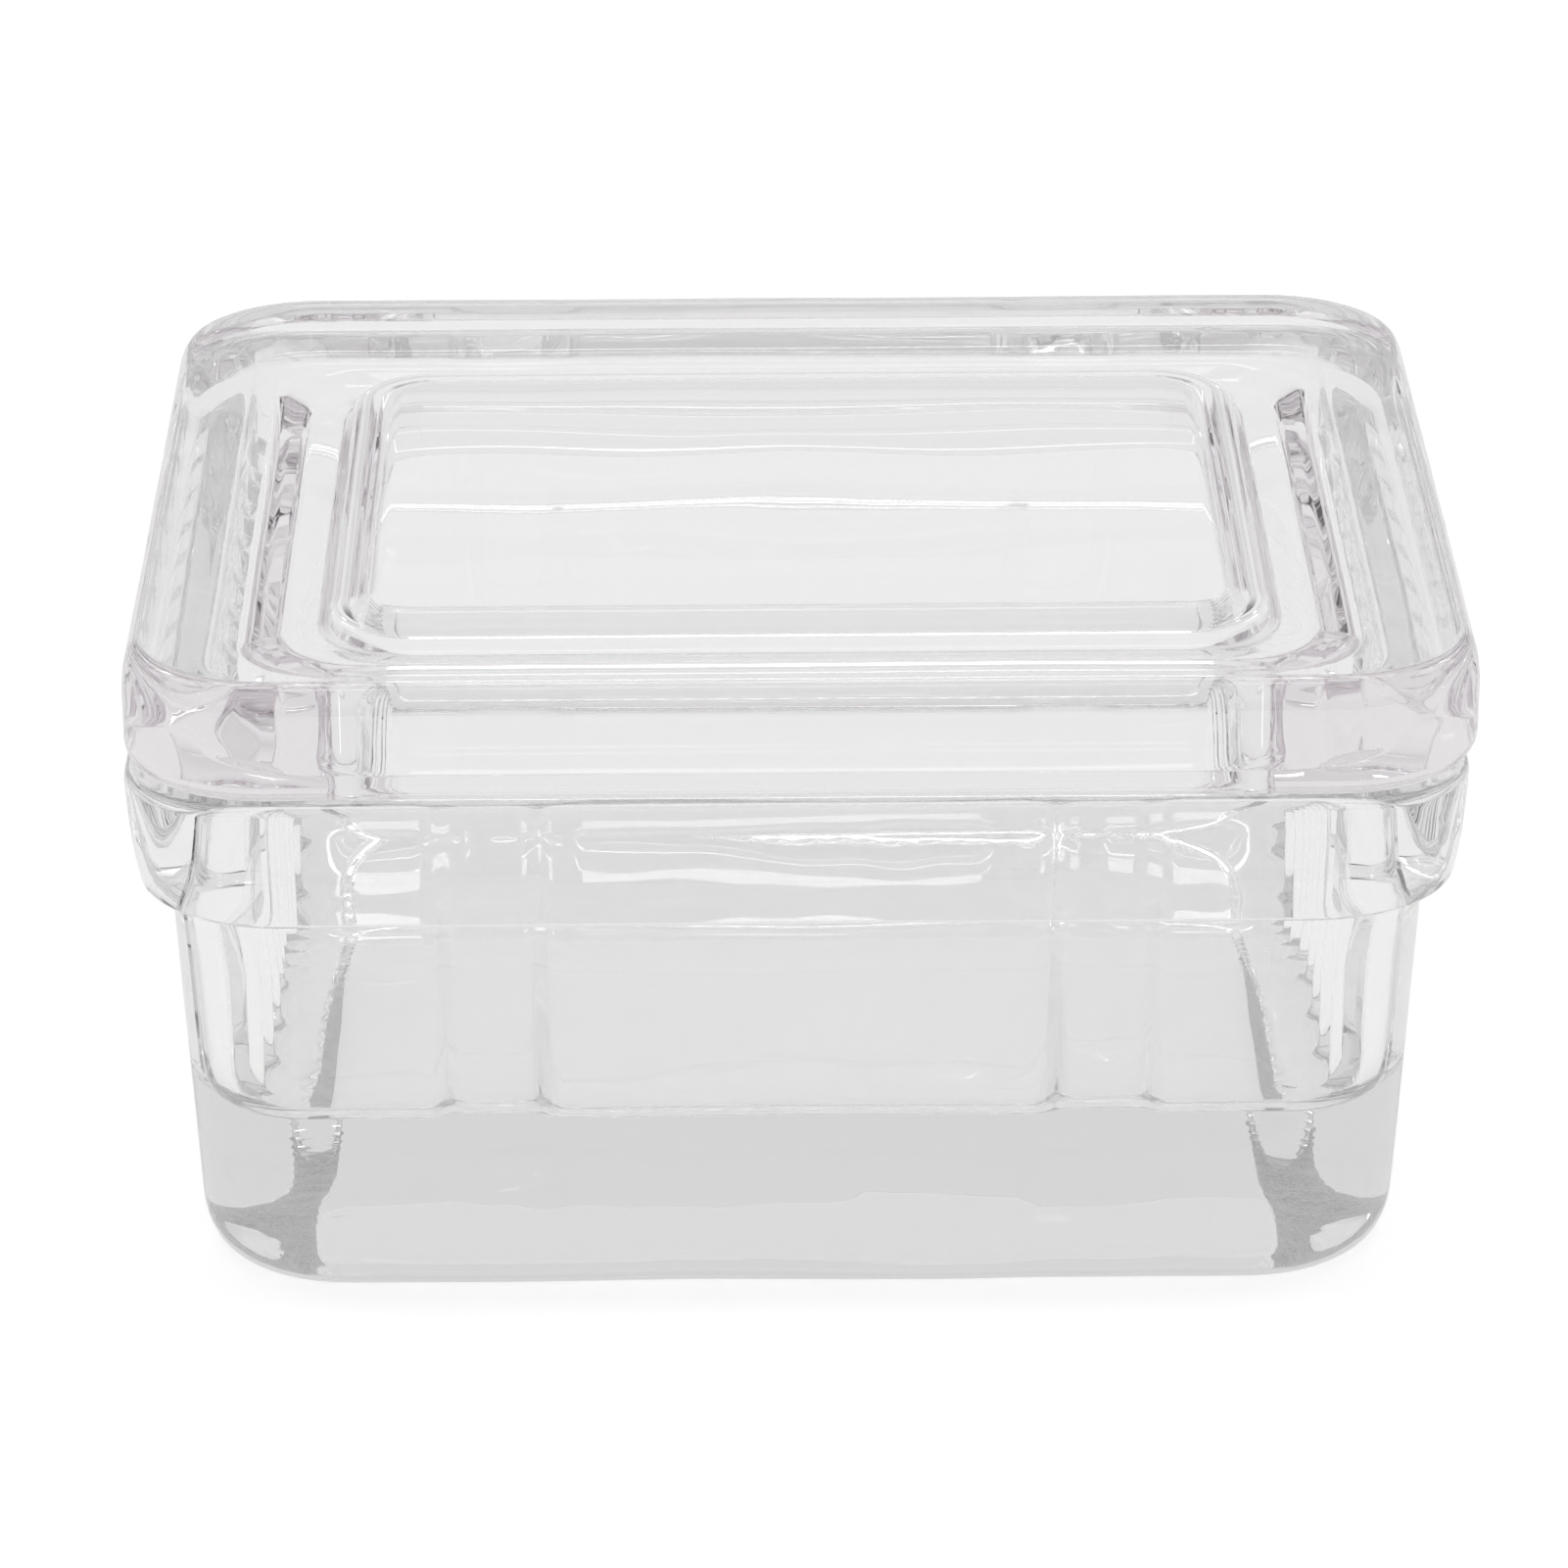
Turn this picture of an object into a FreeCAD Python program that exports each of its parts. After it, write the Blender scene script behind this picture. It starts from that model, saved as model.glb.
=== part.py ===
import FreeCAD, Part

# Slide staining jar: a pressed glass jar for microscope slides, with a loose glass lid.
#
# The slides stand on their long edges, side by side, with their short edges in the grooves
# between upright ribs on the two end walls. There are two solids, the jar and the lid.
# Millimetres, +Z up, +X along the slides, the origin under the middle of the jar's foot.

import math
import os

import Sketcher

OUT = "parts"
doc = FreeCAD.newDocument("StainingJar")

# ---------------------------------------------------------------- driving dimensions

SIZES = {
    # the slides, and the cavity that holds them
    "slide_length": 75.0,          # its two ends stand in the grooves
    "slide_height": 25.0,          # standing on its long edge
    "slide_play": 1.2,             # from a slide's end to the bottom of its groove
    "slide_headroom": 0.2,         # from a slide's top edge to the lid's plug
    "slot_count": 10,              # slides side by side
    "slot_pitch": 6.3,             # from one rib to the next
    "end_slot_width": 4.3,         # from the last rib to the long wall beside it
    "cavity_draft": 2.0,           # degrees, the cavity opens upwards
    "cavity_corner_radius": 4.5,
    "cavity_floor_fillet": 2.0,
    # upright ribs on the end walls, and broad pads that keep the outer slides off the side walls
    "rib_depth": 2.2,              # from a groove's bottom to the ribs' crests, at the floor
    "rib_width": 3.0,
    "rib_drop": 0.4,               # from a slide's top edge down to the tops of ribs and pads
    "root_depth": 0.6,             # how far ribs and pads run into the wall
    "pad_offset": 21.5,            # from the middle of a side wall to the middle of a pad
    "pad_width": 10.0,
    "pad_depth": 1.5,              # at the floor
    "pad_draft": 4.5,              # degrees, a pad dies away upwards
    "pad_radius": 2.5,
    # floor, walls and foot
    "floor_thickness": 12.2,
    "end_wall": 3.25,              # outside the grooves, at the foot
    "side_wall": 4.5,              # at the foot
    "body_draft": 2.8,             # degrees, the body widens upwards
    "body_corner_radius": 8.5,     # at the foot
    "foot_fillet": 2.6,
    "foot_ring_end_width": 5.1,    # the flat ring that the jar stands on, at the ends
    "foot_ring_side_width": 2.2,   # and along the sides
    "foot_recess_depth": 0.5,
    "foot_recess_draft": 60.0,     # degrees, of the slope round the recess
    "foot_recess_radius": 6.0,
    # collar round the mouth
    "collar_height": 9.45,
    "collar_step": 1.9,            # how far its lower edge stands out from the body
    "collar_draft": 4.0,           # degrees, the collar widens upwards
    "collar_corner_radius": 7.4,   # at its lower edge
    "collar_fillet": 0.5,
    "rim_outer_fillet": 0.8,
    "rim_inner_fillet": 1.0,
    # lid
    "lid_thickness": 8.8,
    "lid_seam_height": 4.4,        # from its underside to the widest line of its edge
    "lid_overhang": 0.23,          # past the jar's rim
    "lid_corner_radius": 10.0,     # at the seam
    "lid_top_draft": 8.0,          # degrees, above the seam
    "lid_bottom_draft": 3.0,       # degrees, below the seam
    "lid_top_fillet": 2.2,
    "lid_bottom_fillet": 1.4,
    # the plug under the lid, which keeps it from sliding off the jar
    "plug_depth": 1.6,             # how far it reaches into the mouth
    "plug_clearance": 1.3,         # from the plug to the mouth, all round
    "plug_draft": 58.0,            # degrees, so that the lid finds the mouth
    "plug_corner_radius": 5.5,
    "plug_fillet": 0.35,
    # the hollow inside the plug
    "panel_thickness": 2.8,        # of the glass above the hollow
    "ring_end_width": 3.1,         # from the plug's foot to the hollow, at the ends
    "ring_side_width": 1.4,        # and along the sides
    "hollow_draft": 2.0,           # degrees, the hollow opens downwards
    "hollow_corner_radius": 6.0,
    "hollow_fillet": 3.4,          # between its ceiling and its walls
    "ring_fillet": 0.7,
}

sheet = doc.addObject("Spreadsheet::Sheet", "Sizes")
for row, (alias, value) in enumerate(SIZES.items(), start=1):
    sheet.set("A%d" % row, alias)
    sheet.set("B%d" % row, str(value))
    sheet.setAlias("B%d" % row, alias)
doc.recompute()

# ---------------------------------------------------------------- sizes worked out from them


def formula(text, *parts):
    """A formula in brackets: the sheet's names are filled in, and then the parts."""
    for alias in sorted(SIZES, key=len, reverse=True):
        text = text.replace("{%s}" % alias, "Sizes." + alias)
    return "(%s)" % (text % parts)


CAVITY_DEPTH = formula("{slide_height} + {slide_headroom} + {plug_depth}")
RIB_HEIGHT = formula("{slide_height} - {rib_drop}")
JAR_HEIGHT = formula("{floor_thickness} + %s", CAVITY_DEPTH)
COLLAR_FOOT = formula("%s - {collar_height}", JAR_HEIGHT)
HOLLOW_DEPTH = formula("{plug_depth} + {lid_thickness} - {panel_thickness}")

# How far a drafted wall moves sideways over its height.
BODY_LEAN = formula("%s * tan({body_draft} * 1deg)", COLLAR_FOOT)
COLLAR_LEAN = formula("{collar_height} * tan({collar_draft} * 1deg)")
CAVITY_LEAN = formula("%s * tan({cavity_draft} * 1deg)", CAVITY_DEPTH)
RIB_LEAN = formula("%s * tan({cavity_draft} * 1deg)", RIB_HEIGHT)
PAD_LEAN = formula("%s * tan({pad_draft} * 1deg)", RIB_HEIGHT)
PLUG_LEAN = formula("{plug_depth} * tan({plug_draft} * 1deg)")
HOLLOW_LEAN = formula("%s * tan({hollow_draft} * 1deg)", HOLLOW_DEPTH)
LID_TOP_LEAN = formula("({lid_thickness} - {lid_seam_height}) * tan({lid_top_draft} * 1deg)")
LID_BOTTOM_LEAN = formula("{lid_seam_height} * tan({lid_bottom_draft} * 1deg)")


def offset(outline, end_distance, side_distance=None):
    """An outline moved outwards, by one distance or by one at the ends and one at the sides."""
    length, width = outline
    return (formula("%s + 2 * %s", length, end_distance),
            formula("%s + 2 * %s", width, side_distance or end_distance))


# Outlines: each is a length and a width.
CAVITY = (formula("{slide_length} + 2 * {slide_play}"),
          formula("({slot_count} - 2) * {slot_pitch} + 2 * {end_slot_width}"))
MOUTH = offset(CAVITY, CAVITY_LEAN)
FOOT = offset(CAVITY, formula("{end_wall}"), formula("{side_wall}"))
FOOT_RECESS = offset(FOOT, formula("-{foot_fillet} - {foot_ring_end_width}"),
                     formula("-{foot_fillet} - {foot_ring_side_width}"))
COLLAR = offset(FOOT, formula("%s + {collar_step}", BODY_LEAN))
RIM = offset(COLLAR, COLLAR_LEAN)
LID_SEAM = offset(RIM, formula("{lid_overhang}"))
LID_TOP = offset(LID_SEAM, formula("-%s", LID_TOP_LEAN))
LID_UNDERSIDE = offset(LID_SEAM, formula("-%s", LID_BOTTOM_LEAN))
PLUG = offset(MOUTH, formula("-{plug_clearance}"))
PLUG_FOOT = offset(PLUG, formula("-%s", PLUG_LEAN))
HOLLOW = offset(PLUG_FOOT, formula("-{ring_end_width}"), formula("-{ring_side_width}"))
HOLLOW_CEILING = offset(HOLLOW, formula("-%s", HOLLOW_LEAN))


def number(text):
    """What a formula comes to, as a plain number."""
    value = sheet.evalExpression(text)
    return float(getattr(value, "Value", value))


# ---------------------------------------------------------------- sketches

START, END, CENTRE = 1, 2, 3       # the points of a line or an arc
ORIGIN = (-1, 1)                   # a sketch's own origin


def new_body(label):
    body = doc.addObject("PartDesign::Body", label)
    body.Label = label
    return body


def from_origin(body, role):
    """One of a body's own origin planes or axes."""
    return next(item for item in body.Origin.OriginFeatures if item.Role == role)


def level_sketch(body, name, height):
    """A sketch parallel to the body's XY plane."""
    sketch = body.newObject("Sketcher::SketchObject", name)
    sketch.AttachmentSupport = [(from_origin(body, "XY_Plane"), "")]
    sketch.MapMode = "FlatFace"
    sketch.setExpression("AttachmentOffset.Base.z", height)
    return sketch


def vector(point):
    return FreeCAD.Vector(point[0], point[1], 0)


def add_line(sketch, start, end):
    return sketch.addGeometry(Part.LineSegment(vector(start), vector(end)))


def add_quarter(sketch, centre, radius, quadrant):
    """A quarter circle, anticlockwise, in quadrant 0 to 3."""
    circle = Part.Circle(vector(centre), FreeCAD.Vector(0, 0, 1), radius)
    begin = quadrant * math.pi / 2
    return sketch.addGeometry(Part.ArcOfCircle(circle, begin, begin + math.pi / 2))


def constrain(sketch, kind, *where):
    sketch.addConstraint(Sketcher.Constraint(kind, *where))


def dimension(sketch, kind, where, text):
    """A dimension of a sketch, bound to a formula."""
    index = sketch.addConstraint(Sketcher.Constraint(kind, *where, number(text)))
    sketch.setExpression("Constraints[%d]" % index, text)


def rounded_rectangle(body, name, height, outline, radius):
    """A sketch of a rectangle with round corners, centred on the body's Z axis."""
    sketch = level_sketch(body, name, height)
    half_length, half_width = (number(size) / 2 for size in outline)
    corner = number(radius)
    x = half_length - corner
    y = half_width - corner
    front = add_line(sketch, (-x, -half_width), (x, -half_width))
    right = add_line(sketch, (half_length, -y), (half_length, y))
    back = add_line(sketch, (x, half_width), (-x, half_width))
    left = add_line(sketch, (-half_length, y), (-half_length, -y))
    corners = [add_quarter(sketch, centre, corner, (turn - 1) % 4)
               for turn, centre in enumerate([(x, -y), (x, y), (-x, y), (-x, -y)])]
    sides = [front, right, back, left]
    for turn, arc in enumerate(corners):
        constrain(sketch, "Tangent", sides[turn], END, arc, START)
        constrain(sketch, "Tangent", arc, END, sides[(turn + 1) % 4], START)
    for side in (front, back):
        constrain(sketch, "Horizontal", side)
    for side in (left, right):
        constrain(sketch, "Vertical", side)
    for arc in corners[1:]:
        constrain(sketch, "Equal", corners[0], arc)
    constrain(sketch, "Symmetric", corners[0], CENTRE, corners[2], CENTRE, *ORIGIN)
    dimension(sketch, "Radius", (corners[0],), radius)
    dimension(sketch, "DistanceX", (left, START, right, START), outline[0])
    dimension(sketch, "DistanceY", (front, START, back, START), outline[1])
    return sketch


# ---------------------------------------------------------------- features

def extrude(body, kind, name, sketch, length, draft=None, down=False):
    """A Pad or a Pocket. A positive draft makes its far end wider, a negative one narrower."""
    feature = body.newObject("PartDesign::" + kind, name)
    feature.Profile = sketch
    feature.setExpression("Length", length)
    feature.Reversed = down if kind == "Pad" else not down
    if draft:
        feature.setExpression("TaperAngle", draft)
    doc.recompute()
    return feature


def loop_edges(feature, height, outline):
    """The names of the edges that run round an outline at a height."""
    near = 0.01                    # how close counts as on the outline
    half_length, half_width = (number(size) / 2 for size in outline)

    def on_outline(point):
        at_end = abs(abs(point.x) - half_length) < near and abs(point.y) < half_width
        at_side = abs(abs(point.y) - half_width) < near and abs(point.x) < half_length
        return (at_end or at_side) and abs(point.z - number(height)) < near

    return ["Edge%d" % index for index, edge in enumerate(feature.Shape.Edges, start=1)
            if all(on_outline(vertex.Point) for vertex in edge.Vertexes)]


def limited(radius, wall):
    """A fillet's radius, at most what fits on a wall this wide."""
    return formula("min(%s; 0.85 * %s)", formula(radius), formula(wall))


def round_edges(body, name, edges, radius):
    """A Fillet of the body's last feature."""
    if not edges:
        raise RuntimeError(name + " has no edges")
    base = body.Tip
    feature = body.newObject("PartDesign::Fillet", name)
    feature.Base = (base, edges)
    feature.setExpression("Radius", radius)
    doc.recompute()
    return feature


# ---------------------------------------------------------------- jar: walls, floor and collar

jar = new_body("jar")
FLOOR = formula("{floor_thickness}")
GROUND = "0"

foot_outline = rounded_rectangle(jar, "FootOutline", GROUND, FOOT, formula("{body_corner_radius}"))
extrude(jar, "Pad", "Walls", foot_outline, COLLAR_FOOT, formula("{body_draft}"))
round_edges(jar, "FootEdge", loop_edges(jar.Tip, GROUND, FOOT), formula("{foot_fillet}"))

collar_outline = rounded_rectangle(jar, "CollarOutline", COLLAR_FOOT, COLLAR,
                                   formula("{collar_corner_radius}"))
extrude(jar, "Pad", "Collar", collar_outline, formula("{collar_height}"), formula("{collar_draft}"))
round_edges(jar, "CollarEdge", loop_edges(jar.Tip, COLLAR_FOOT, COLLAR),
            limited("{collar_fillet}", "{collar_step}"))
round_edges(jar, "RimOuterEdge", loop_edges(jar.Tip, JAR_HEIGHT, RIM),
            formula("{rim_outer_fillet}"))

cavity_outline = rounded_rectangle(jar, "CavityOutline", FLOOR, CAVITY,
                                   formula("{cavity_corner_radius}"))
extrude(jar, "Pocket", "Cavity", cavity_outline, CAVITY_DEPTH, formula("{cavity_draft}"))
round_edges(jar, "CavityFloorEdge", loop_edges(jar.Tip, FLOOR, CAVITY),
            formula("{cavity_floor_fillet}"))
round_edges(jar, "RimInnerEdge", loop_edges(jar.Tip, JAR_HEIGHT, MOUTH),
            formula("{rim_inner_fillet}"))

recess_outline = rounded_rectangle(jar, "FootRecessOutline", GROUND, FOOT_RECESS,
                                   formula("{foot_recess_radius}"))
extrude(jar, "Pocket", "FootRecess", recess_outline, formula("{foot_recess_depth}"),
        formula("-{foot_recess_draft}"))

# ---------------------------------------------------------------- jar: ribs and pads

ROOT_REACH = formula("%s + {root_depth}", RIB_LEAN)
PAD_ROOT_REACH = formula("%s + %s", ROOT_REACH, PAD_LEAN)
FIRST_RIB = formula("({slot_count} - 2) * {slot_pitch} / 2")
HALF_LENGTH = formula("%s / 2", CAVITY[0])
HALF_WIDTH = formula("%s / 2", CAVITY[1])


def rib_profile(sketch, side):
    """The first rib of an end wall in plan: a round crest on straight flanks."""
    half_rib = number(formula("{rib_width} / 2"))
    middle = -number(FIRST_RIB)
    root = side * number(formula("%s + %s", HALF_LENGTH, ROOT_REACH))
    flank_end = side * (number(formula("%s - {rib_depth}", HALF_LENGTH)) + half_rib)
    near = middle - side * half_rib
    far = middle + side * half_rib
    base = add_line(sketch, (root, near), (root, far))
    inward = add_line(sketch, (root, far), (flank_end, far))
    circle = Part.Circle(vector((flank_end, middle)), FreeCAD.Vector(0, 0, 1), half_rib)
    begin = math.pi / 2 if side > 0 else -math.pi / 2
    crest = sketch.addGeometry(Part.ArcOfCircle(circle, begin, begin + math.pi))
    outward = add_line(sketch, (flank_end, near), (root, near))
    constrain(sketch, "Coincident", base, END, inward, START)
    constrain(sketch, "Tangent", inward, END, crest, START)
    constrain(sketch, "Tangent", crest, END, outward, START)
    constrain(sketch, "Coincident", outward, END, base, START)
    constrain(sketch, "Vertical", base)
    constrain(sketch, "Horizontal", inward)
    constrain(sketch, "Horizontal", outward)
    dimension(sketch, "Radius", (crest,), formula("{rib_width} / 2"))
    crest_centre = formula("%s - {rib_depth} + {rib_width} / 2", HALF_LENGTH)
    dimension(sketch, "DistanceX", (*ORIGIN, crest, CENTRE), formula("%d * %s", side, crest_centre))
    dimension(sketch, "DistanceY", (*ORIGIN, crest, CENTRE), formula("-%s", FIRST_RIB))
    dimension(sketch, "DistanceX", (*ORIGIN, base, START),
              formula("%d * (%s + %s)", side, HALF_LENGTH, ROOT_REACH))


def pad_profile(sketch, end, side):
    """A pad of a side wall in plan: a flat crest with round corners."""
    radius = number(formula("{pad_radius}"))
    half_pad = number(formula("{pad_width} / 2"))
    middle = end * number(formula("{pad_offset}"))
    root = side * number(formula("%s + %s", HALF_WIDTH, PAD_ROOT_REACH))
    crest_y = side * number(formula("%s - {pad_depth}", HALF_WIDTH))
    left = middle - side * half_pad
    right = middle + side * half_pad
    turn_y = crest_y + side * radius
    base = add_line(sketch, (right, root), (left, root))
    inward = add_line(sketch, (left, root), (left, turn_y))
    first = add_quarter(sketch, (left + side * radius, turn_y), radius, 2 if side > 0 else 0)
    crest = add_line(sketch, (left + side * radius, crest_y), (right - side * radius, crest_y))
    second = add_quarter(sketch, (right - side * radius, turn_y), radius, 3 if side > 0 else 1)
    outward = add_line(sketch, (right, turn_y), (right, root))
    constrain(sketch, "Coincident", base, END, inward, START)
    constrain(sketch, "Tangent", inward, END, first, START)
    constrain(sketch, "Tangent", first, END, crest, START)
    constrain(sketch, "Tangent", crest, END, second, START)
    constrain(sketch, "Tangent", second, END, outward, START)
    constrain(sketch, "Coincident", outward, END, base, START)
    constrain(sketch, "Horizontal", base)
    constrain(sketch, "Horizontal", crest)
    constrain(sketch, "Vertical", inward)
    constrain(sketch, "Vertical", outward)
    constrain(sketch, "Equal", first, second)
    dimension(sketch, "Radius", (first,), formula("{pad_radius}"))
    half_signed = formula("%d * {pad_width} / 2", side)
    dimension(sketch, "DistanceX", (*ORIGIN, base, END),
              formula("%d * {pad_offset} - %s", end, half_signed))
    dimension(sketch, "DistanceX", (*ORIGIN, base, START),
              formula("%d * {pad_offset} + %s", end, half_signed))
    dimension(sketch, "DistanceY", (*ORIGIN, base, START),
              formula("%d * (%s + %s)", side, HALF_WIDTH, PAD_ROOT_REACH))
    dimension(sketch, "DistanceY", (*ORIGIN, crest, START),
              formula("%d * (%s - {pad_depth})", side, HALF_WIDTH))


rib_outline = level_sketch(jar, "RibOutline", FLOOR)
for side in (-1, 1):
    rib_profile(rib_outline, side)
first_ribs = extrude(jar, "Pad", "FirstRibs", rib_outline, RIB_HEIGHT)

ribs = jar.newObject("PartDesign::LinearPattern", "Ribs")
ribs.Originals = [first_ribs]
ribs.Direction = (from_origin(jar, "Y_Axis"), [""])
ribs.setExpression("Length", formula("({slot_count} - 2) * {slot_pitch}"))
ribs.setExpression("Occurrences", formula("{slot_count} - 1"))
jar.Tip = ribs
doc.recompute()

pad_outline = level_sketch(jar, "PadOutline", FLOOR)
for end in (-1, 1):
    for side in (-1, 1):
        pad_profile(pad_outline, end, side)
extrude(jar, "Pad", "Pads", pad_outline, RIB_HEIGHT, formula("-{pad_draft}"))

# ---------------------------------------------------------------- lid: slab, plug and hollow

lid = new_body("lid")
UNDERSIDE = "0"
SEAM = formula("{lid_seam_height}")
LID_HEIGHT = formula("{lid_thickness}")
PLUG_BOTTOM = formula("-{plug_depth}")
CEILING = formula("{lid_thickness} - {panel_thickness}")

lid_outline = rounded_rectangle(lid, "LidOutline", SEAM, LID_SEAM, formula("{lid_corner_radius}"))
extrude(lid, "Pad", "AboveSeam", lid_outline, formula("{lid_thickness} - {lid_seam_height}"),
        formula("-{lid_top_draft}"))
lower_outline = rounded_rectangle(lid, "LowerOutline", SEAM, LID_SEAM,
                                  formula("{lid_corner_radius}"))
extrude(lid, "Pad", "BelowSeam", lower_outline, SEAM, formula("-{lid_bottom_draft}"), down=True)
round_edges(lid, "LidTopEdge", loop_edges(lid.Tip, LID_HEIGHT, LID_TOP),
            formula("{lid_top_fillet}"))
round_edges(lid, "LidBottomEdge", loop_edges(lid.Tip, UNDERSIDE, LID_UNDERSIDE),
            formula("{lid_bottom_fillet}"))

plug_outline = rounded_rectangle(lid, "PlugOutline", UNDERSIDE, PLUG,
                                 formula("{plug_corner_radius}"))
extrude(lid, "Pad", "Plug", plug_outline, formula("{plug_depth}"), formula("-{plug_draft}"),
        down=True)
round_edges(lid, "PlugEdge", loop_edges(lid.Tip, PLUG_BOTTOM, PLUG_FOOT),
            limited("{plug_fillet}", "{plug_depth}"))

hollow_outline = rounded_rectangle(lid, "HollowOutline", PLUG_BOTTOM, HOLLOW,
                                   formula("{hollow_corner_radius}"))
extrude(lid, "Pocket", "Hollow", hollow_outline, HOLLOW_DEPTH, formula("-{hollow_draft}"))
round_edges(lid, "HollowEdge", loop_edges(lid.Tip, CEILING, HOLLOW_CEILING),
            formula("{hollow_fillet}"))
round_edges(lid, "RingEdge", loop_edges(lid.Tip, PLUG_BOTTOM, HOLLOW), formula("{ring_fillet}"))

# The lid's underside rests on the jar's rim.
lid.setExpression(".Placement.Base.z", JAR_HEIGHT)
doc.recompute()

# ---------------------------------------------------------------- checks and files

for item in doc.Objects:
    if "Invalid" in item.State or "Error" in item.State:
        raise RuntimeError("%s failed: %s" % (item.Label, item.State))
    if item.isDerivedFrom("Sketcher::SketchObject") and not item.FullyConstrained:
        raise RuntimeError(item.Label + " is not fully constrained")

if jar.Tip.Shape.Volume <= ribs.Shape.Volume or ribs.Shape.Volume <= first_ribs.Shape.Volume:
    raise RuntimeError("the ribs or the pads added nothing")

os.makedirs(OUT, exist_ok=True)
for body in (jar, lid):
    if body.Shape.isNull() or not body.Shape.isValid() or len(body.Shape.Solids) != 1:
        raise RuntimeError(body.Label + " is not one valid solid")
    shape = body.Shape.Solids[0]
    shape.exportStep(os.path.join(OUT, body.Label + ".step"))
    box = shape.optimalBoundingBox()
    print("%s: volume %.0f, x %.2f..%.2f, y %.2f..%.2f, z %.2f..%.2f"
          % (body.Label, shape.Volume, box.XMin, box.XMax, box.YMin, box.YMax, box.ZMin, box.ZMax))
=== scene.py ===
import math

import bmesh
import bpy
from mathutils import Matrix, Vector, noise


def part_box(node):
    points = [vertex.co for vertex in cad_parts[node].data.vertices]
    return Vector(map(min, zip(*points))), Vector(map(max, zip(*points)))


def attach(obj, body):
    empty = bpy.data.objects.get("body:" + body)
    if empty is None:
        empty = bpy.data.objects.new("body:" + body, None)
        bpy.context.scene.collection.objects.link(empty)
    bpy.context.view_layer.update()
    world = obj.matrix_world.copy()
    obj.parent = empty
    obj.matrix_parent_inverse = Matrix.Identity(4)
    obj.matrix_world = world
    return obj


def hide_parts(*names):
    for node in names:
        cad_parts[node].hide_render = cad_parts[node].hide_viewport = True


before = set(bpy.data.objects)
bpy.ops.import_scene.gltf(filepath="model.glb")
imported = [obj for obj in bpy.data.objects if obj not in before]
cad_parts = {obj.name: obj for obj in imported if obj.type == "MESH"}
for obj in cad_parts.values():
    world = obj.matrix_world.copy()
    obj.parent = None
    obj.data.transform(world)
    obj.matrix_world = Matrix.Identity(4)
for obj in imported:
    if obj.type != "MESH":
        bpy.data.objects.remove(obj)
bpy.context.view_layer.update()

MM = 0.001

# ================================================================ jar
# A rectangular jar of clear soda-lime glass, pressed in one piece in an iron mould. A plunger
# formed the cavity with its ribs and pads. The outside was fire-polished afterwards, so its
# edges are soft and its faces are slightly wavy.

JAR_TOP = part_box("jar")[1].z / MM
RIM_HALF_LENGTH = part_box("jar")[1].x / MM
RIM_HALF_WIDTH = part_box("jar")[1].y / MM

FLOOR_THICKNESS = 12.2
COLLAR_HEIGHT = 9.45
BODY_DRAFT = math.radians(2.8)
BODY_CORNER = 8.9                  # radius of its upright corners, just below the collar
BODY_CORNER_GROWTH = 1.8           # how much larger it is at the foot
FOOT_ROUNDING = (1.8, 3.6)         # across and up: the foot's edge is rounded more steeply
RECESS_HALF_LENGTH = 33.2          # it stands on a flat ring, round a shallow recess
RECESS_HALF_WIDTH = 28.2
RECESS_CORNER = 5.0
RECESS_DEPTH = 0.5
SLOPE_WIDTH = 1.0                  # of the slope between the recess and the ring
SLOPE_LEAST = 0.12                 # the share of that width at its narrowest
SLOPE_WIDENS = (9.0, -5.0)         # toward the front: least width here, and full width there
SLOPE_WIDENS_BEHIND = (24.0, 28.0) # the same toward the back
ROUGH_SHADED_STRETCH = (-25.0, 9.0)       # of the slopes at the two ends, where their surface is rough and carries a painted grey shade
ROUGH_SHADED_BEYOND = 32.6                # how far out from the middle that begins
MARK_PITCH = 2.4                   # of the marks across the slope
MARK_DEPTH = 0.25
MARK_WANDER = 0.8                  # how far they stray, over MARK_WANDER_LENGTH
MARK_WANDER_LENGTH = 3.0
COLLAR_STEP = 1.9
STEP_FILLET = 0.3                  # the height over which the wall swells into the collar
STEP_SWELL = 0.1
COLLAR_LEAN = 0.65                 # how much smaller it is at its foot than at the rim
COLLAR_CORNER = 8.0
COLLAR_CORNER_GROWTH = 2.0         # how much rounder its corners are at its foot than at the rim
COLLAR_ROUNDING = 0.5
RIM_OUTER_ROUNDING = 0.8
RIM_INNER_ROUNDING = 1.0
RIM_BLEND = 0.3                    # where a rounding runs out into the rim

FLOOR_HALF_LENGTH = 38.7
FLOOR_HALF_WIDTH = 29.5
CAVITY_DRAFT = math.radians(2.0)
CAVITY_CORNER = 4.5
END_FILLET = 2.5                   # between its floor and its end walls
SIDE_FILLET = 2.0
FLOOR_BLEND = 3.0                  # over which the ribs' and pads' outline fades into the floor

RIB_COUNT = 9                      # on each end wall
RIB_PITCH = 6.3
RIB_WIDTH = 4.2                    # at its root
RIB_DEPTH = 2.2
RIB_TOP = 37.6
RIB_FULLNESS = 1.2                 # lower is blunter
RIB_RUN_OUT = 1.6                  # the height over which its top fades into the wall
PAD_OFFSET = 21.0
PAD_WIDTH = 9.0
PAD_DEPTH = 1.5                    # at the floor
PAD_DEPTH_ABOVE = 0.6              # at the rim
PAD_EDGE = 0.5                     # the share of its half width over which it fades out
PAD_TOP = 38.6
PAD_RUN_OUT = 1.5
WAVE_LENGTH = 16.0                 # fire-polishing leaves long waves and short ripples
WAVE_DEPTH = 0.2
RIPPLE_LENGTH = 4.5
RIPPLE_DEPTH = 0.03

END_STEPS = 200                    # points along an end wall, enough for its ribs
SIDE_STEPS = 96
CORNER_STEPS = 12
SMALLEST_CORNER = 0.3


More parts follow.
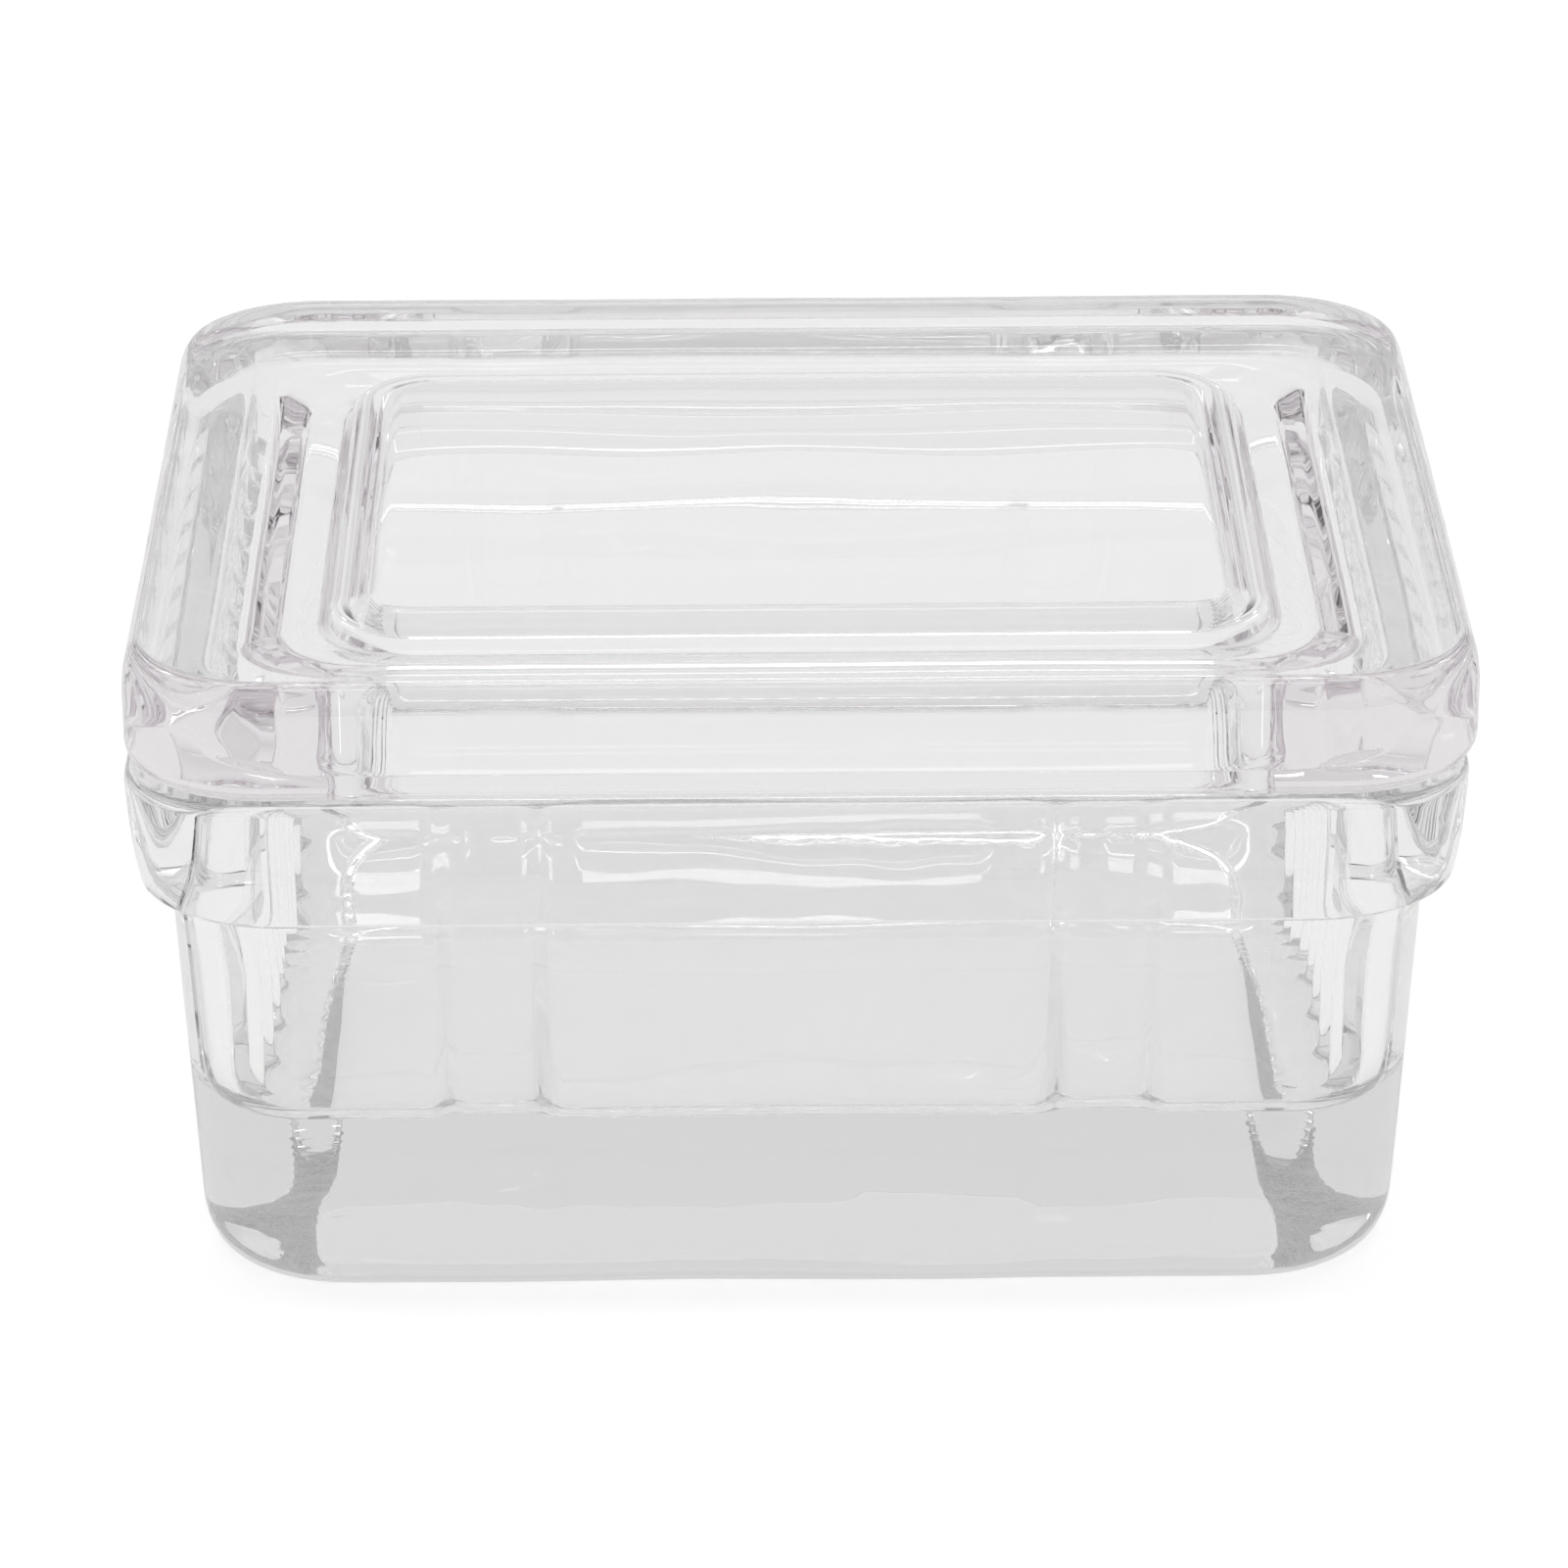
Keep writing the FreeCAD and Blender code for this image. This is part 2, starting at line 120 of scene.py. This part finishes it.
def level_loop(half_length, half_width, corner, height, end_push=None, side_push=None):
    """Points round a rectangle with round corners. A push moves a wall's points inwards."""
    corner = max(corner, SMALLEST_CORNER)
    x, y = half_length - corner, half_width - corner
    points = []
    for turn, (centre_x, centre_y, steps) in enumerate(
            [(x, y, END_STEPS), (-x, y, SIDE_STEPS), (-x, -y, END_STEPS), (x, -y, SIDE_STEPS)]):
        start = turn * math.pi / 2
        across = (math.cos(start), math.sin(start))
        along = (-across[1], across[0])
        run = y if turn % 2 == 0 else x
        reach = half_length if turn % 2 == 0 else half_width
        push = end_push if turn % 2 == 0 else side_push
        for step in range(steps):
            place = run * (2 * step / steps - 1)
            depth = push(place, height) if push else 0
            points.append(Vector((across[0] * (reach - depth) + along[0] * place,
                                  across[1] * (reach - depth) + along[1] * place, height)))
        for step in range(CORNER_STEPS):
            angle = start + math.pi / 2 * step / CORNER_STEPS
            points.append(Vector((centre_x + corner * math.cos(angle),
                                  centre_y + corner * math.sin(angle), height)))
    return points


def eased(share):
    """From 0 to 1 as a quarter of a sine wave."""
    return math.sin(min(max(share, 0), 1) * math.pi / 2)


def smooth(share):
    """From 0 to 1, level at both ends."""
    share = min(max(share, 0), 1)
    return share * share * (3 - 2 * share)


def smooth_between(value, start, end):
    return smooth((value - start) / (end - start))


def rib_push(place, height):
    """How far the ribs stand out of an end wall, at a place along it."""
    nearest = round(place / RIB_PITCH + (RIB_COUNT - 1) / 2)
    nearest = min(max(nearest, 0), RIB_COUNT - 1)
    aside = abs(place - (nearest - (RIB_COUNT - 1) / 2) * RIB_PITCH) / (RIB_WIDTH / 2)
    if aside >= 1:
        return 0
    profile = math.cos(aside * math.pi / 2) ** RIB_FULLNESS
    return RIB_DEPTH * profile * eased((RIB_TOP - height) / RIB_RUN_OUT)


def pad_push(place, height):
    """How far the two pads stand out of a side wall."""
    aside = abs(abs(place) - PAD_OFFSET) / (PAD_WIDTH / 2)
    if aside >= 1:
        return 0
    share = (JAR_TOP - height) / (JAR_TOP - FLOOR_THICKNESS)
    depth = PAD_DEPTH_ABOVE + (PAD_DEPTH - PAD_DEPTH_ABOVE) * share ** 2
    return depth * smooth((1 - aside) / PAD_EDGE) * eased((PAD_TOP - height) / PAD_RUN_OUT)


def quarter_turn(steps):
    """The sine and cosine of evenly spaced angles from 0 to 90 degrees."""
    return [(math.sin(math.pi / 2 * step / steps), math.cos(math.pi / 2 * step / steps))
            for step in range(steps + 1)]


def face_into_wall(loop, edge, up, across, steps):
    """Loops of a rounding that leaves a level face, at the edge's height, and turns into a wall."""
    return [loop(edge + up * (1 - cosine), across * (1 - sine))
            for sine, cosine in quarter_turn(steps)]


def wall_into_face(loop, edge, up, across, steps):
    """Loops of a rounding that leaves a wall and turns into a level face, at the edge's height."""
    return [loop(edge - up * (1 - sine), across * (1 - cosine))
            for sine, cosine in quarter_turn(steps)]


def between(start, end, steps):
    """Evenly spaced values after start, up to and with end."""
    return [start + (end - start) * (step + 1) / steps for step in range(steps)]


FLAT_SHARES = (0.995, 0.98, 0.95, 0.9, 0.84, 0.77, 0.7, 0.62, 0.54, 0.46, 0.38, 0.3, 0.22, 0.14,
               0.06)


def flat_loops(loop):
    """A level face inside a loop, as smaller and smaller loops."""
    return [[Vector((point.x * share, point.y * share, point.z)) for point in loop]
            for share in FLAT_SHARES]


def skin(name, loops, waviness=1.0, rippling=1.0):
    """A closed smooth mesh over a row of loops. A fan closes its first and its last loop.

    Waviness and rippling are the shares that it gets of the jar's waves and ripples.
    """
    count = len(loops[0])
    points = [point * MM for loop in loops for point in loop]
    faces = []
    for row in range(len(loops) - 1):
        for here in range(count):
            after = (here + 1) % count
            faces.append((row * count + here, row * count + after,
                          (row + 1) * count + after, (row + 1) * count + here))
    for row in (0, len(loops) - 1):
        centre = len(points)
        points.append(sum(loops[row], Vector()) / count * MM)
        faces += [(row * count + here, row * count + (here + 1) % count, centre)
                  for here in range(count)]
    mesh = bpy.data.meshes.new(name)
    mesh.from_pydata(points, [], faces)
    shape = bmesh.new()
    shape.from_mesh(mesh)
    bmesh.ops.recalc_face_normals(shape, faces=shape.faces)
    shape.normal_update()
    for vertex in shape.verts:
        place = vertex.co / MM
        waves = waviness * WAVE_DEPTH * (1 + noise.noise(place / WAVE_LENGTH))
        ripples = rippling * RIPPLE_DEPTH * (1 + noise.noise(place / RIPPLE_LENGTH))
        vertex.co -= vertex.normal * (waves + ripples) / 2 * MM
    shape.to_mesh(mesh)
    shape.free()
    mesh.shade_smooth()
    piece = bpy.data.objects.new(name, mesh)
    bpy.context.collection.objects.link(piece)
    return piece


collar_foot = JAR_TOP - COLLAR_HEIGHT


def body_loop(height, inset=0.0):
    """Round the outside of the body, below the collar."""
    away = (collar_foot - height) * math.tan(BODY_DRAFT) + COLLAR_STEP + COLLAR_LEAN + inset
    corner = BODY_CORNER + BODY_CORNER_GROWTH * ((collar_foot - height) / collar_foot) ** 2
    return level_loop(RIM_HALF_LENGTH - away, RIM_HALF_WIDTH - away, corner - inset, height)


def collar_loop(height, inset=0.0):
    share = (JAR_TOP - height) / COLLAR_HEIGHT
    away = COLLAR_LEAN * share ** 1.5 + inset
    corner = COLLAR_CORNER + COLLAR_CORNER_GROWTH * share ** 4
    return level_loop(RIM_HALF_LENGTH - away, RIM_HALF_WIDTH - away, corner - inset, height)


def fillet(height, radius):
    """How far a rounding between a wall and the floor stands out of the wall."""
    below = min(max(radius - (height - FLOOR_THICKNESS), 0), radius)
    return radius - math.sqrt(radius ** 2 - below ** 2)


def merged(push, rounding, relief):
    """How far a rib or pad stands out of the rounding that it dies into."""
    return relief * ((push ** 3 + rounding ** 3) ** (1 / 3) - rounding)


def cavity_loop(height, inset=0.0, relief=1.0):
    """Round the inside of the cavity. Relief is the share of the ribs' and pads' depth."""
    lean = (height - FLOOR_THICKNESS) * math.tan(CAVITY_DRAFT) - inset
    end, side = fillet(height, END_FILLET), fillet(height, SIDE_FILLET)
    return level_loop(FLOOR_HALF_LENGTH + lean - end, FLOOR_HALF_WIDTH + lean - side,
                      CAVITY_CORNER - inset - min(end, side), height,
                      lambda place, level: merged(rib_push(place, level), end, relief),
                      lambda place, level: relief * pad_push(place, level))


foot_across, foot_up = FOOT_ROUNDING
recess_edge = level_loop(RECESS_HALF_LENGTH, RECESS_HALF_WIDTH, RECESS_CORNER, RECESS_DEPTH)
ring_edge = level_loop(RECESS_HALF_LENGTH + SLOPE_WIDTH, RECESS_HALF_WIDTH + SLOPE_WIDTH,
                       RECESS_CORNER + SLOPE_WIDTH, 0.0)


def slope_loop(share):
    """Round the slope, from the recess's edge at 0 to the ring at 1."""
    loop = []
    for inner, outer in zip(recess_edge, ring_edge):
        wide = max(SLOPE_LEAST, smooth_between(inner.y, *SLOPE_WIDENS),
                   smooth_between(inner.y, *SLOPE_WIDENS_BEHIND))
        point = inner.lerp(outer, share * wide)
        point.z = RECESS_DEPTH * (1 - share)
        loop.append(point)
    for point in loop:
        along = point.x + point.y + MARK_WANDER * noise.noise(point / MARK_WANDER_LENGTH)
        mark = 0.5 - 0.5 * math.cos(2 * math.pi * along / MARK_PITCH)
        point.z += MARK_DEPTH * mark * math.sin(math.pi * share)
    return loop


# From the middle of the recess outwards and up, over the rim, and down into the cavity.
jar_loops = flat_loops(slope_loop(0.0))[::-1]
slope_start = len(jar_loops)
jar_loops += [slope_loop(share) for share in [0.0] + between(0.0, 1.0, 8)]
slope_end = len(jar_loops)
foot_edge = body_loop(0.0, foot_across)
for share in between(0.0, 1.0, 8):
    jar_loops.append([inner.lerp(outer, share) for inner, outer in zip(slope_loop(1.0), foot_edge)])
jar_loops += face_into_wall(body_loop, 0.0, foot_up, foot_across, 9)[1:]
jar_loops += [body_loop(height) for height in between(foot_up, collar_foot - STEP_FILLET, 6)]
jar_loops.append(body_loop(collar_foot - STEP_SWELL / 2, -STEP_SWELL))
jar_loops += face_into_wall(collar_loop, collar_foot, COLLAR_ROUNDING, COLLAR_ROUNDING, 6)
collar_start, collar_end = collar_foot + COLLAR_ROUNDING, JAR_TOP - RIM_OUTER_ROUNDING
jar_loops += [collar_loop(height) for height in between(collar_start, collar_end, 5)]
jar_loops += wall_into_face(collar_loop, JAR_TOP, RIM_OUTER_ROUNDING, RIM_OUTER_ROUNDING, 4)[1:]
jar_loops.append(collar_loop(JAR_TOP, RIM_OUTER_ROUNDING + RIM_BLEND))
jar_loops.append(cavity_loop(JAR_TOP, -RIM_INNER_ROUNDING - RIM_BLEND))
jar_loops += face_into_wall(cavity_loop, JAR_TOP, -RIM_INNER_ROUNDING, -RIM_INNER_ROUNDING, 5)
rib_fade, wall_end = RIB_TOP - RIB_RUN_OUT, FLOOR_THICKNESS + SIDE_FILLET
jar_loops += [cavity_loop(height) for height in between(JAR_TOP - RIM_INNER_ROUNDING, rib_fade, 10)]
jar_loops += [cavity_loop(height) for height in between(rib_fade, wall_end, 20)]
jar_loops += wall_into_face(cavity_loop, FLOOR_THICKNESS, -SIDE_FILLET, 0.0, 16)[1:]
for share in between(0.0, 1.0, 6):
    jar_loops.append(cavity_loop(FLOOR_THICKNESS, FLOOR_BLEND * share, 1 - share))
jar_loops += flat_loops(jar_loops[-1])
jar = skin("jar_glass", jar_loops)


def linear_colour(code):
    """An sRGB hex colour as the linear colour that Blender works with."""
    shades = [int(code[place:place + 2], 16) / 255 for place in (1, 3, 5)]
    return tuple(shade / 12.92 if shade <= 0.04045 else ((shade + 0.055) / 1.055) ** 2.4
                 for shade in shades) + (1.0,)


def add_node(tree, kind, settings=None, links=None):
    """A node with its settings, by attribute or socket name, and its incoming links."""
    node = tree.nodes.new(kind)
    for key, value in (settings or {}).items():
        if isinstance(key, int) or key in node.inputs:
            node.inputs[key].default_value = value
        else:
            setattr(node, key, value)
    for socket, source in (links or {}).items():
        tree.links.new(source, node.inputs[socket])
    return node


def clear_glass(name, tint, density):
    """Glass that light passes without loss at its surface, and that is tinted where it is thick."""
    material = bpy.data.materials.new(name)
    material.use_nodes = True
    tree = material.node_tree
    surface = tree.nodes["Principled BSDF"]
    surface.inputs["Base Color"].default_value = (1, 1, 1, 1)
    surface.inputs["Transmission Weight"].default_value = 1.0
    surface.inputs["Roughness"].default_value = 0.0
    surface.inputs["IOR"].default_value = 1.52
    tinting = add_node(tree, "ShaderNodeVolumeAbsorption",
                       {"Color": linear_colour(tint), "Density": density})
    tree.links.new(tinting.outputs["Volume"], tree.nodes["Material Output"].inputs["Volume"])
    return material


# Soda-lime glass, pressed and fire-polished: clear and colourless where it is thin, and a faint
# grey along the thick floor, which the eye looks through from end to end.
jar.data.materials.append(clear_glass("pressed soda-lime glass", "#bebdbe", 6.0))

# The same glass with a rough, unpolished surface, on the slope inside the foot, and with a grey
# colour that is painted shade:
# the eye gets a dull grey patch low in each end of the jar, partly from the rough surface and
# partly from the painted shade, with a toothed edge from the marks across the slope.
rough_glass_painted_shade = clear_glass("unpolished soda-lime glass with painted shade", "#bebdbe", 6.0)
tree = rough_glass_painted_shade.node_tree
surface = tree.nodes["Principled BSDF"]
surface.inputs["Roughness"].default_value = 0.3
# Painted shade: the grey base colour darkens the light through the rough slope and stands for the
# shade beneath the foot.
surface.inputs["Base Color"].default_value = linear_colour("#d9d9d9")
grit = add_node(tree, "ShaderNodeTexNoise", {"Scale": 900.0, "Detail": 3.0})
relief = add_node(tree, "ShaderNodeBump", {"Strength": 0.8, "Distance": 0.0004},
                  {"Height": grit.outputs[0]})
tree.links.new(relief.outputs[0], surface.inputs["Normal"])
jar.data.materials.append(rough_glass_painted_shade)
shaded_rough_start, shaded_rough_end = ROUGH_SHADED_STRETCH
loop_count = len(jar_loops[0])
for face in jar.data.polygons[slope_start * loop_count:(slope_end - 1) * loop_count]:
    place = face.center / MM
    if abs(place.x) > ROUGH_SHADED_BEYOND and shaded_rough_start < place.y < shaded_rough_end:
        face.material_index = 1
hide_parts("jar")
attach(jar, "jar")

# ================================================================ lid
# A thick slab of the same glass, pressed in its own mould, with a crowned and fire-polished edge.
# Its underside has a shallow plug that drops into the jar's mouth, and a hollow inside the plug.

LID_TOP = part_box("lid")[1].z / MM
LID_HALF_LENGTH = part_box("lid")[1].x / MM
LID_HALF_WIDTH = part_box("lid")[1].y / MM
PLUG_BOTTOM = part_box("lid")[0].z / MM

LID_CORNER = 10.0
LID_TOP_ROUNDING = (1.43, 4.02)    # across and up: its upper edge is crowned
LID_BOTTOM_ROUNDING = 1.6
PLUG_CLEARANCE = 1.3
PLUG_SLANT = 2.6                   # how much smaller it is at its bottom, to find the mouth
PLUG_CORNER = 5.5
PLUG_ROUNDING = 0.35
PANEL_THICKNESS = 2.8
HOLLOW_HALF_LENGTH = 32.6
HOLLOW_HALF_WIDTH = 25.2
HOLLOW_DRAFT = math.radians(2.0)
HOLLOW_CORNER = 6.0
HOLLOW_ROUNDING = 3.4
RING_ROUNDING = 0.8
SEAT_BLEND = 0.3                   # where the plug and the edge run out into the slab's underside
EDGE_BLEND = 0.4
LID_WAVES = 0.6                    # the shares that it has of the jar's waves and ripples
LID_RIPPLES = 0.1
LID_ASIDE = 0.3                    # the loose lid sits a little to one side

mouth_half_length = FLOOR_HALF_LENGTH + (JAR_TOP - FLOOR_THICKNESS) * math.tan(CAVITY_DRAFT)
mouth_half_width = FLOOR_HALF_WIDTH + (JAR_TOP - FLOOR_THICKNESS) * math.tan(CAVITY_DRAFT)


def hollow_loop(height, inset=0.0):
    away = (height - PLUG_BOTTOM) * math.tan(HOLLOW_DRAFT) + inset
    return level_loop(HOLLOW_HALF_LENGTH - away, HOLLOW_HALF_WIDTH - away, HOLLOW_CORNER - away,
                      height)


def plug_loop(height, inset=0.0):
    away = PLUG_CLEARANCE + (JAR_TOP - height) / (JAR_TOP - PLUG_BOTTOM) * PLUG_SLANT + inset
    return level_loop(mouth_half_length - away, mouth_half_width - away, PLUG_CORNER - inset,
                      height)


def slab_loop(height, inset=0.0):
    return level_loop(LID_HALF_LENGTH - inset, LID_HALF_WIDTH - inset, LID_CORNER - inset, height)


# From the middle of the hollow down, round the plug, and over the slab's edge to its top.
ceiling = LID_TOP - PANEL_THICKNESS
lid_loops = flat_loops(hollow_loop(ceiling, HOLLOW_ROUNDING))[::-1]
lid_loops += face_into_wall(hollow_loop, ceiling, -HOLLOW_ROUNDING, HOLLOW_ROUNDING, 8)
hollow_end = PLUG_BOTTOM + RING_ROUNDING
lid_loops += [hollow_loop(height) for height in between(ceiling - HOLLOW_ROUNDING, hollow_end, 4)]
lid_loops += wall_into_face(hollow_loop, PLUG_BOTTOM, -RING_ROUNDING, -RING_ROUNDING, 5)[1:]
lid_loops += face_into_wall(plug_loop, PLUG_BOTTOM, PLUG_ROUNDING, PLUG_ROUNDING, 6)
lid_loops += [plug_loop(height) for height in between(PLUG_BOTTOM + PLUG_ROUNDING, JAR_TOP, 3)]
lid_loops.append(plug_loop(JAR_TOP, -SEAT_BLEND))
lid_loops.append(slab_loop(JAR_TOP, LID_BOTTOM_ROUNDING + EDGE_BLEND))
lid_loops += face_into_wall(slab_loop, JAR_TOP, LID_BOTTOM_ROUNDING, LID_BOTTOM_ROUNDING, 6)
top_across, top_up = LID_TOP_ROUNDING
lid_loops += wall_into_face(slab_loop, LID_TOP, top_up, top_across, 10)
lid_loops += flat_loops(lid_loops[-1])
for loop in lid_loops:
    for point in loop:
        point.x += LID_ASIDE
lid = skin("lid_glass", lid_loops, LID_WAVES, LID_RIPPLES)
# Soda-lime glass, pressed and fire-polished, with a faint pink tint: it shows in the thick edge
# and corners, and the thin panel in the middle stays colourless.
lid.data.materials.append(clear_glass("pressed soda-lime glass, faint pink", "#e4dee2", 8.0))
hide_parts("lid")
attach(lid, "lid")

# ================================================================ studio
# A white card on a table, in an evenly lit white room that is darker low down in front. Two long
# strip lights hang over the card and behind it, with a small soft one in front. The camera looks
# a little down.

world = bpy.data.worlds.new("studio")
bpy.context.scene.world = world
world.use_nodes = True
sky = world.node_tree
ray = add_node(sky, "ShaderNodeLightPath")
direction = add_node(sky, "ShaderNodeTexCoord")
parts = add_node(sky, "ShaderNodeSeparateXYZ", {}, {"Vector": direction.outputs["Generated"]})
backdrop = add_node(sky, "ShaderNodeMapRange",
                    {"interpolation_type": "SMOOTHSTEP", "From Min": -0.7, "From Max": 0.1,
                     "To Min": 0.74, "To Max": 0.82}, {"Value": parts.outputs["Y"]})
low_down = add_node(sky, "ShaderNodeMapRange",
                    {"From Min": 0.0, "From Max": 0.6, "To Min": 0.12, "To Max": 0.9},
                    {"Value": parts.outputs["Y"]})
above_table = add_node(sky, "ShaderNodeMapRange",
                       {"interpolation_type": "SMOOTHSTEP", "From Min": 0.04, "From Max": 0.24},
                       {"Value": parts.outputs["Z"], "To Min": low_down.outputs[0]})
room = add_node(sky, "ShaderNodeMath", {"operation": "MULTIPLY"},
                {0: backdrop.outputs[0], 1: above_table.outputs[0]})
in_glass = add_node(sky, "ShaderNodeMath", {"operation": "MAXIMUM"},
                    {0: ray.outputs["Is Transmission Ray"], 1: ray.outputs["Is Glossy Ray"]})
# Matt faces get 0.3 of white, the glass shows the room, and the camera sees plain white.
lighting = add_node(sky, "ShaderNodeMix", {2: 0.3}, {0: in_glass.outputs[0], 3: room.outputs[0]})
strength = add_node(sky, "ShaderNodeMix", {3: 1.0},
                    {0: ray.outputs["Is Camera Ray"], 2: lighting.outputs[0]})
sky.links.new(strength.outputs[0], sky.nodes["Background"].inputs["Strength"])
sky.nodes["Background"].inputs["Color"].default_value = (1, 1, 1, 1)

# Matt white card: it glows a little, so that it stays white round the object and keeps a soft
# shadow under the foot.
bpy.ops.mesh.primitive_plane_add(size=4, location=(0, 0, -0.0001))
table = bpy.context.object
table.name = "table"
paper = bpy.data.materials.new("white card")
paper.use_nodes = True
tree = paper.node_tree
tree.nodes.clear()
ray = add_node(tree, "ShaderNodeLightPath")
glow = add_node(tree, "ShaderNodeMapRange", {"To Min": 0.43, "To Max": 0.66},
                {"Value": ray.outputs["Is Camera Ray"]})
emission = add_node(tree, "ShaderNodeEmission", {}, {"Strength": glow.outputs[0]})
matt = add_node(tree, "ShaderNodeBsdfDiffuse", {"Color": (0.85, 0.85, 0.85, 1)})
both = add_node(tree, "ShaderNodeAddShader")
tree.links.new(emission.outputs[0], both.inputs[0])
tree.links.new(matt.outputs[0], both.inputs[1])
add_node(tree, "ShaderNodeOutputMaterial", {}, {"Surface": both.outputs[0]})
table.data.materials.append(paper)

LAMPS = (("strip light behind", 0.08, (1.0, 0.02), (0, 0.47, 0.88)),
         ("strip light above", 2.5, (1.0, 0.2), (0, -0.03, 1.0)),
         ("soft light in front", 0.25, (0.35, 0.1), (0, -0.6, 0.75)))
for name, watts, (length, width), place in LAMPS:
    light = bpy.data.lights.new(name, "AREA")
    light.shape = "RECTANGLE"
    light.size = length
    light.size_y = width
    light.energy = watts
    lamp = bpy.data.objects.new(name, light)
    bpy.context.collection.objects.link(lamp)
    lamp.location = place
    toward_jar = Vector((0, 0, 0.03)) - lamp.location
    lamp.rotation_euler = toward_jar.to_track_quat("-Z", "Y").to_euler()

CAMERA_DISTANCE = 0.5115
CAMERA_ELEVATION = math.radians(24.0)
CAMERA_TURN = math.radians(0.53)
CAMERA_ROLL = math.radians(-0.21)
LOOK_AT = Vector((-0.00067, -0.0026, 0.0248))

camera_data = bpy.data.cameras.new("camera")
camera_data.sensor_width = 36
camera_data.lens = 162.3
camera_data.clip_start = 0.01
camera = bpy.data.objects.new("camera", camera_data)
bpy.context.collection.objects.link(camera)
sight = Vector((math.sin(CAMERA_TURN) * math.cos(CAMERA_ELEVATION),
                math.cos(CAMERA_TURN) * math.cos(CAMERA_ELEVATION), -math.sin(CAMERA_ELEVATION)))
facing = sight.to_track_quat("-Z", "Y").to_matrix().to_4x4()
camera.matrix_world = (Matrix.Translation(LOOK_AT - sight * CAMERA_DISTANCE) @ facing
                       @ Matrix.Rotation(CAMERA_ROLL, 4, "Z"))
bpy.context.scene.camera = camera

bpy.context.scene.view_settings.view_transform = "Standard"

# Light crosses many faces inside the two thick pieces before it comes out again.
PATH_LENGTH = 26
light_paths = bpy.context.scene.cycles
light_paths.max_bounces = PATH_LENGTH
light_paths.transmission_bounces = PATH_LENGTH
light_paths.glossy_bounces = PATH_LENGTH
